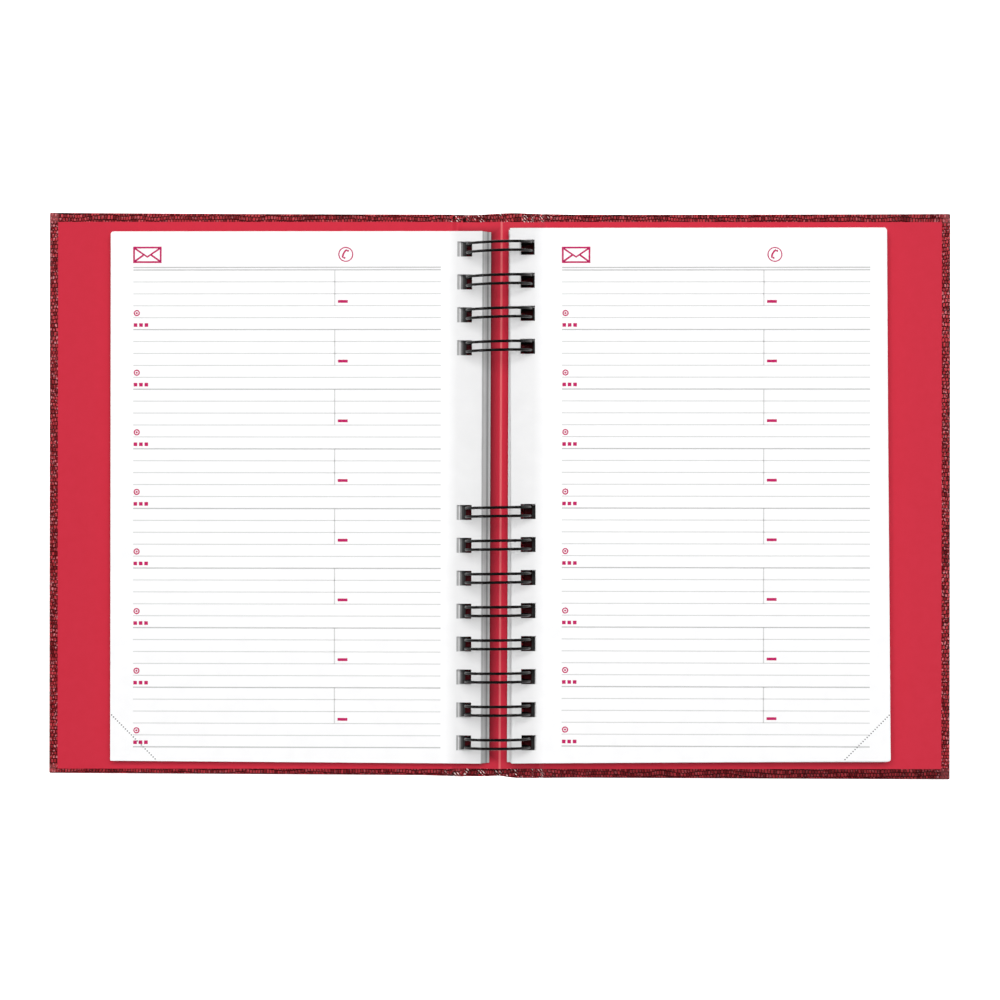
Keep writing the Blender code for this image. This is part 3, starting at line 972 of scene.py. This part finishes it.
RING_AT = (1.35 * MM, -16.6 * MM)
RING_RADII = (1.2 * MM, 0.72 * MM)
RING_DOT = 0.4 * MM
SQUARE = (0.15 * MM, 1.55 * MM, -21.9 * MM, -20.5 * MM)
SQUARE_STEP = 2.1 * MM
BAR = (78.9 * MM, 82.7 * MM, -12.7 * MM, -11.6 * MM)
label_ring = [ring(*RING_AT, radius) for radius in RING_RADII]
label_dot = [ring(*RING_AT, RING_DOT, 16)]
label_squares = [moved([rectangle(*SQUARE)], i * SQUARE_STEP, 0) for i in range(3)]
label_bar = [rectangle(*BAR)]
prints += stroke_row([label_ring, label_dot, label_bar, *label_squares], BLOCKS, crimson_ink)

STROKE = 0.7 * MM
ENVELOPE_X = (0.25 * MM, 10.55 * MM)
ENVELOPE_Y = (3.05 * MM, 8.65 * MM)
FLAP_Y = 5.05 * MM
FOLD_X = 1.5 * MM
FOLD_Y = 5.75 * MM


def grown(edge):
    """The envelope's outline, moved out by a distance."""
    return rectangle(ENVELOPE_X[0] - edge, ENVELOPE_X[1] + edge, ENVELOPE_Y[0] - edge, ENVELOPE_Y[1] + edge)


inner = grown(-STROKE / 2)
middle = sum(ENVELOPE_X) / 2
flap = stroke([inner[3], (middle, FLAP_Y), inner[2]], STROKE)
left_fold = stroke([inner[0], (middle - FOLD_X, FOLD_Y)], STROKE)
right_fold = stroke([inner[1], (middle + FOLD_X, FOLD_Y)], STROKE)
envelope = [[grown(STROKE / 2), inner], [flap], [left_fold], [right_fold]]

DIAL_AT = (81.9 * MM, 5.95 * MM)
DIAL_RADII = (2.88 * MM, 2.46 * MM)
GRIP = [(0.4, 1.8), (-0.3, 1.2), (-0.9, 0.25), (-1.15, -0.6), (-1.2, -1.3)]
GRIP_STROKE = 0.68 * MM
CAPS = [(0.86, 1.38), (-0.5, -1.35)]
CAP_RADIUS = 0.4 * MM


def on_dial(points):
    """Places given in millimetres from the middle of the dial."""
    return [(DIAL_AT[0] + x * MM, DIAL_AT[1] + y * MM) for x, y in points]


dial = [ring(*DIAL_AT, radius, 40) for radius in DIAL_RADII]
handset = [stroke(on_dial(GRIP), GRIP_STROKE)]
caps = [[ring(*at, CAP_RADIUS, 16)] for at in on_dial(CAPS)]
prints += stroke_row([*envelope, dial, handset, *caps], 1, crimson_ink)
page_print = joined("page_print", prints)

# The places of the printing on the two kinds of page, measured from the wire axis and the middle of the
# sheet.
PRINT_AT = {"left": (-141.6 * MM, 87.14 * MM), "right": (24.55 * MM, 86.4 * MM)}
PRINT_TURN = {"left": math.radians(0.06), "right": math.radians(-0.3)}
PRINT_SCALE = {"left": 1.004, "right": 0.996}
DOTS = 23
DOT_RADIUS = 0.26 * MM
DOT_STEP = 0.77 * MM
DOT_INSET = 0.5 * MM
DOT_START = 17.6 * MM
FRONT_LAYERS = (2, 5, *LEAVES)
VERSO_LAYERS = (3, *LEAVES)
OTHER = {"left": "right", "right": "left"}
TURNED_OVER = Matrix.Rotation(math.pi, 4, "Y")
page_edge = {side: sheet_edge(side, levels(side, LEAVES[1])[0]) for side in SIDES}


def printed_page(page, side):
    """The printing and dotted corner of a left or right page on one pile's sheets, about the wire axis."""
    sign = SIDES[page]
    rules = page_print.copy()
    rules.transform(Matrix.Diagonal((PRINT_SCALE[page], PRINT_SCALE[page], 1, 1)))
    rules.transform(Matrix.Rotation(PRINT_TURN[page], 4, "Z"))
    rules.transform(Matrix.Translation((*PRINT_AT[page], 0)))
    dot = filled("dot", [ring(0, 0, DOT_RADIUS, 10)], INK, -INK / 3)
    dots = row_of_copies("dots", dot, DOTS, (-sign * DOT_STEP, -DOT_STEP, 0), dot_ink)
    fore = page_edge[page] - HOLE_MARGIN + SHEET_WIDTH + FORE_EDGE[side][1]
    dots.transform(Matrix.Translation((sign * (fore - DOT_INSET), DOT_START - SHEET_HEIGHT / 2, 0)))
    return joined(f"{page}_print", [rules, dots])


pages = {(page, side): printed_page(page, side) for page in SIDES for side in SIDES}
for side, sign in SIDES.items():
    for layer in FRONT_LAYERS:
        low, high = levels(side, layer)
        aside = Matrix.Translation((sign * (sheet_edge(side, low) - page_edge[side]), 0, 0))
        front = pages[side, side].copy()
        front.transform(on_wires(side, layer, high) @ aside)
        add_piece(f"{node_name(side, layer)}_print", front, body_of(side, layer))
    for layer in VERSO_LAYERS:
        low, high = levels(side, layer)
        aside = Matrix.Translation((sign * (page_edge[OTHER[side]] - sheet_edge(side, low)), 0, 0))
        verso = pages[OTHER[side], side].copy()
        verso.transform(on_wires(side, layer, low) @ TURNED_OVER @ aside)
        add_piece(f"{node_name(side, layer)}_verso_print", verso, body_of(side, layer))

# Studio: a white floor under the planner, soft boxes at both sides for the gleam on the wires, one
# towards the head and a wide panel above for the light on the pages, and the camera above the open pages.
FLOOR_REACH = 3.0
FLOOR_DEPTH = 10 * MM
FLOOR_GAP = 0.2 * MM
floor_white, shader = new_material("floor_white", 0.9)
shader.inputs["Base Color"].default_value = (0.8, 0.8, 0.8, 1)
shader.inputs["Emission Color"].default_value = (1, 1, 1, 1)
shader.inputs["Emission Strength"].default_value = 0.9
floor_outline = rectangle(-FLOOR_REACH, FLOOR_REACH, -FLOOR_REACH, FLOOR_REACH)
floor_mesh = filled("floor", [floor_outline], FLOOR_DEPTH, -FLOOR_DEPTH - FLOOR_GAP)
floor_mesh.materials.append(floor_white)
floor = bpy.data.objects.new("floor", floor_mesh)
bpy.context.scene.collection.objects.link(floor)

world = bpy.data.worlds.new("studio")
world.use_nodes = True
world.node_tree.nodes["Background"].inputs["Color"].default_value = (1, 1, 1, 1)
world.node_tree.nodes["Background"].inputs["Strength"].default_value = 0.08
bpy.context.scene.world = world


def soft_box(name, place, power, width, height):
    data = bpy.data.lights.new(name, "AREA")
    data.shape = "RECTANGLE"
    data.size = width
    data.size_y = height
    data.energy = power
    lamp = bpy.data.objects.new(name, data)
    lamp.location = place
    lamp.rotation_euler = (-Vector(place)).to_track_quat("-Z", "Y").to_euler()
    bpy.context.scene.collection.objects.link(lamp)
    return lamp


soft_box("left_box", (-1.26, 0.0, 0.82), 9, 1.0, 0.25).visible_diffuse = False
soft_box("right_box", (0.96, 0.0, 1.15), 7, 1.0, 0.15).visible_diffuse = False
soft_box("key_box", (0.0, 0.38, 2.0), 40, 1.3, 0.8).visible_glossy = False
soft_box("sky_panel", (0.0, 0.001, 2.0), 12, 3.0, 3.0).visible_glossy = False

CAMERA_AT = (0, -7.9 * MM, 1100 * MM)
CAMERA_TILT = math.radians(1.3895)
CAMERA_ROLL = math.radians(0.2237)
SENSOR = 36
FOCAL_WIDTHS = 2.82692
data = bpy.data.cameras.new("camera")
data.sensor_fit = "HORIZONTAL"
data.sensor_width = SENSOR
data.lens = SENSOR * FOCAL_WIDTHS
data.shift_x = 0.07086
data.shift_y = 0.01483
camera = bpy.data.objects.new("camera", data)
tilt = Matrix.Rotation(CAMERA_TILT, 4, "Y") @ Matrix.Rotation(CAMERA_ROLL, 4, "Z")
camera.matrix_world = Matrix.Translation(CAMERA_AT) @ tilt
bpy.context.scene.collection.objects.link(camera)
bpy.context.scene.camera = camera
bpy.context.scene.view_settings.view_transform = "Standard"
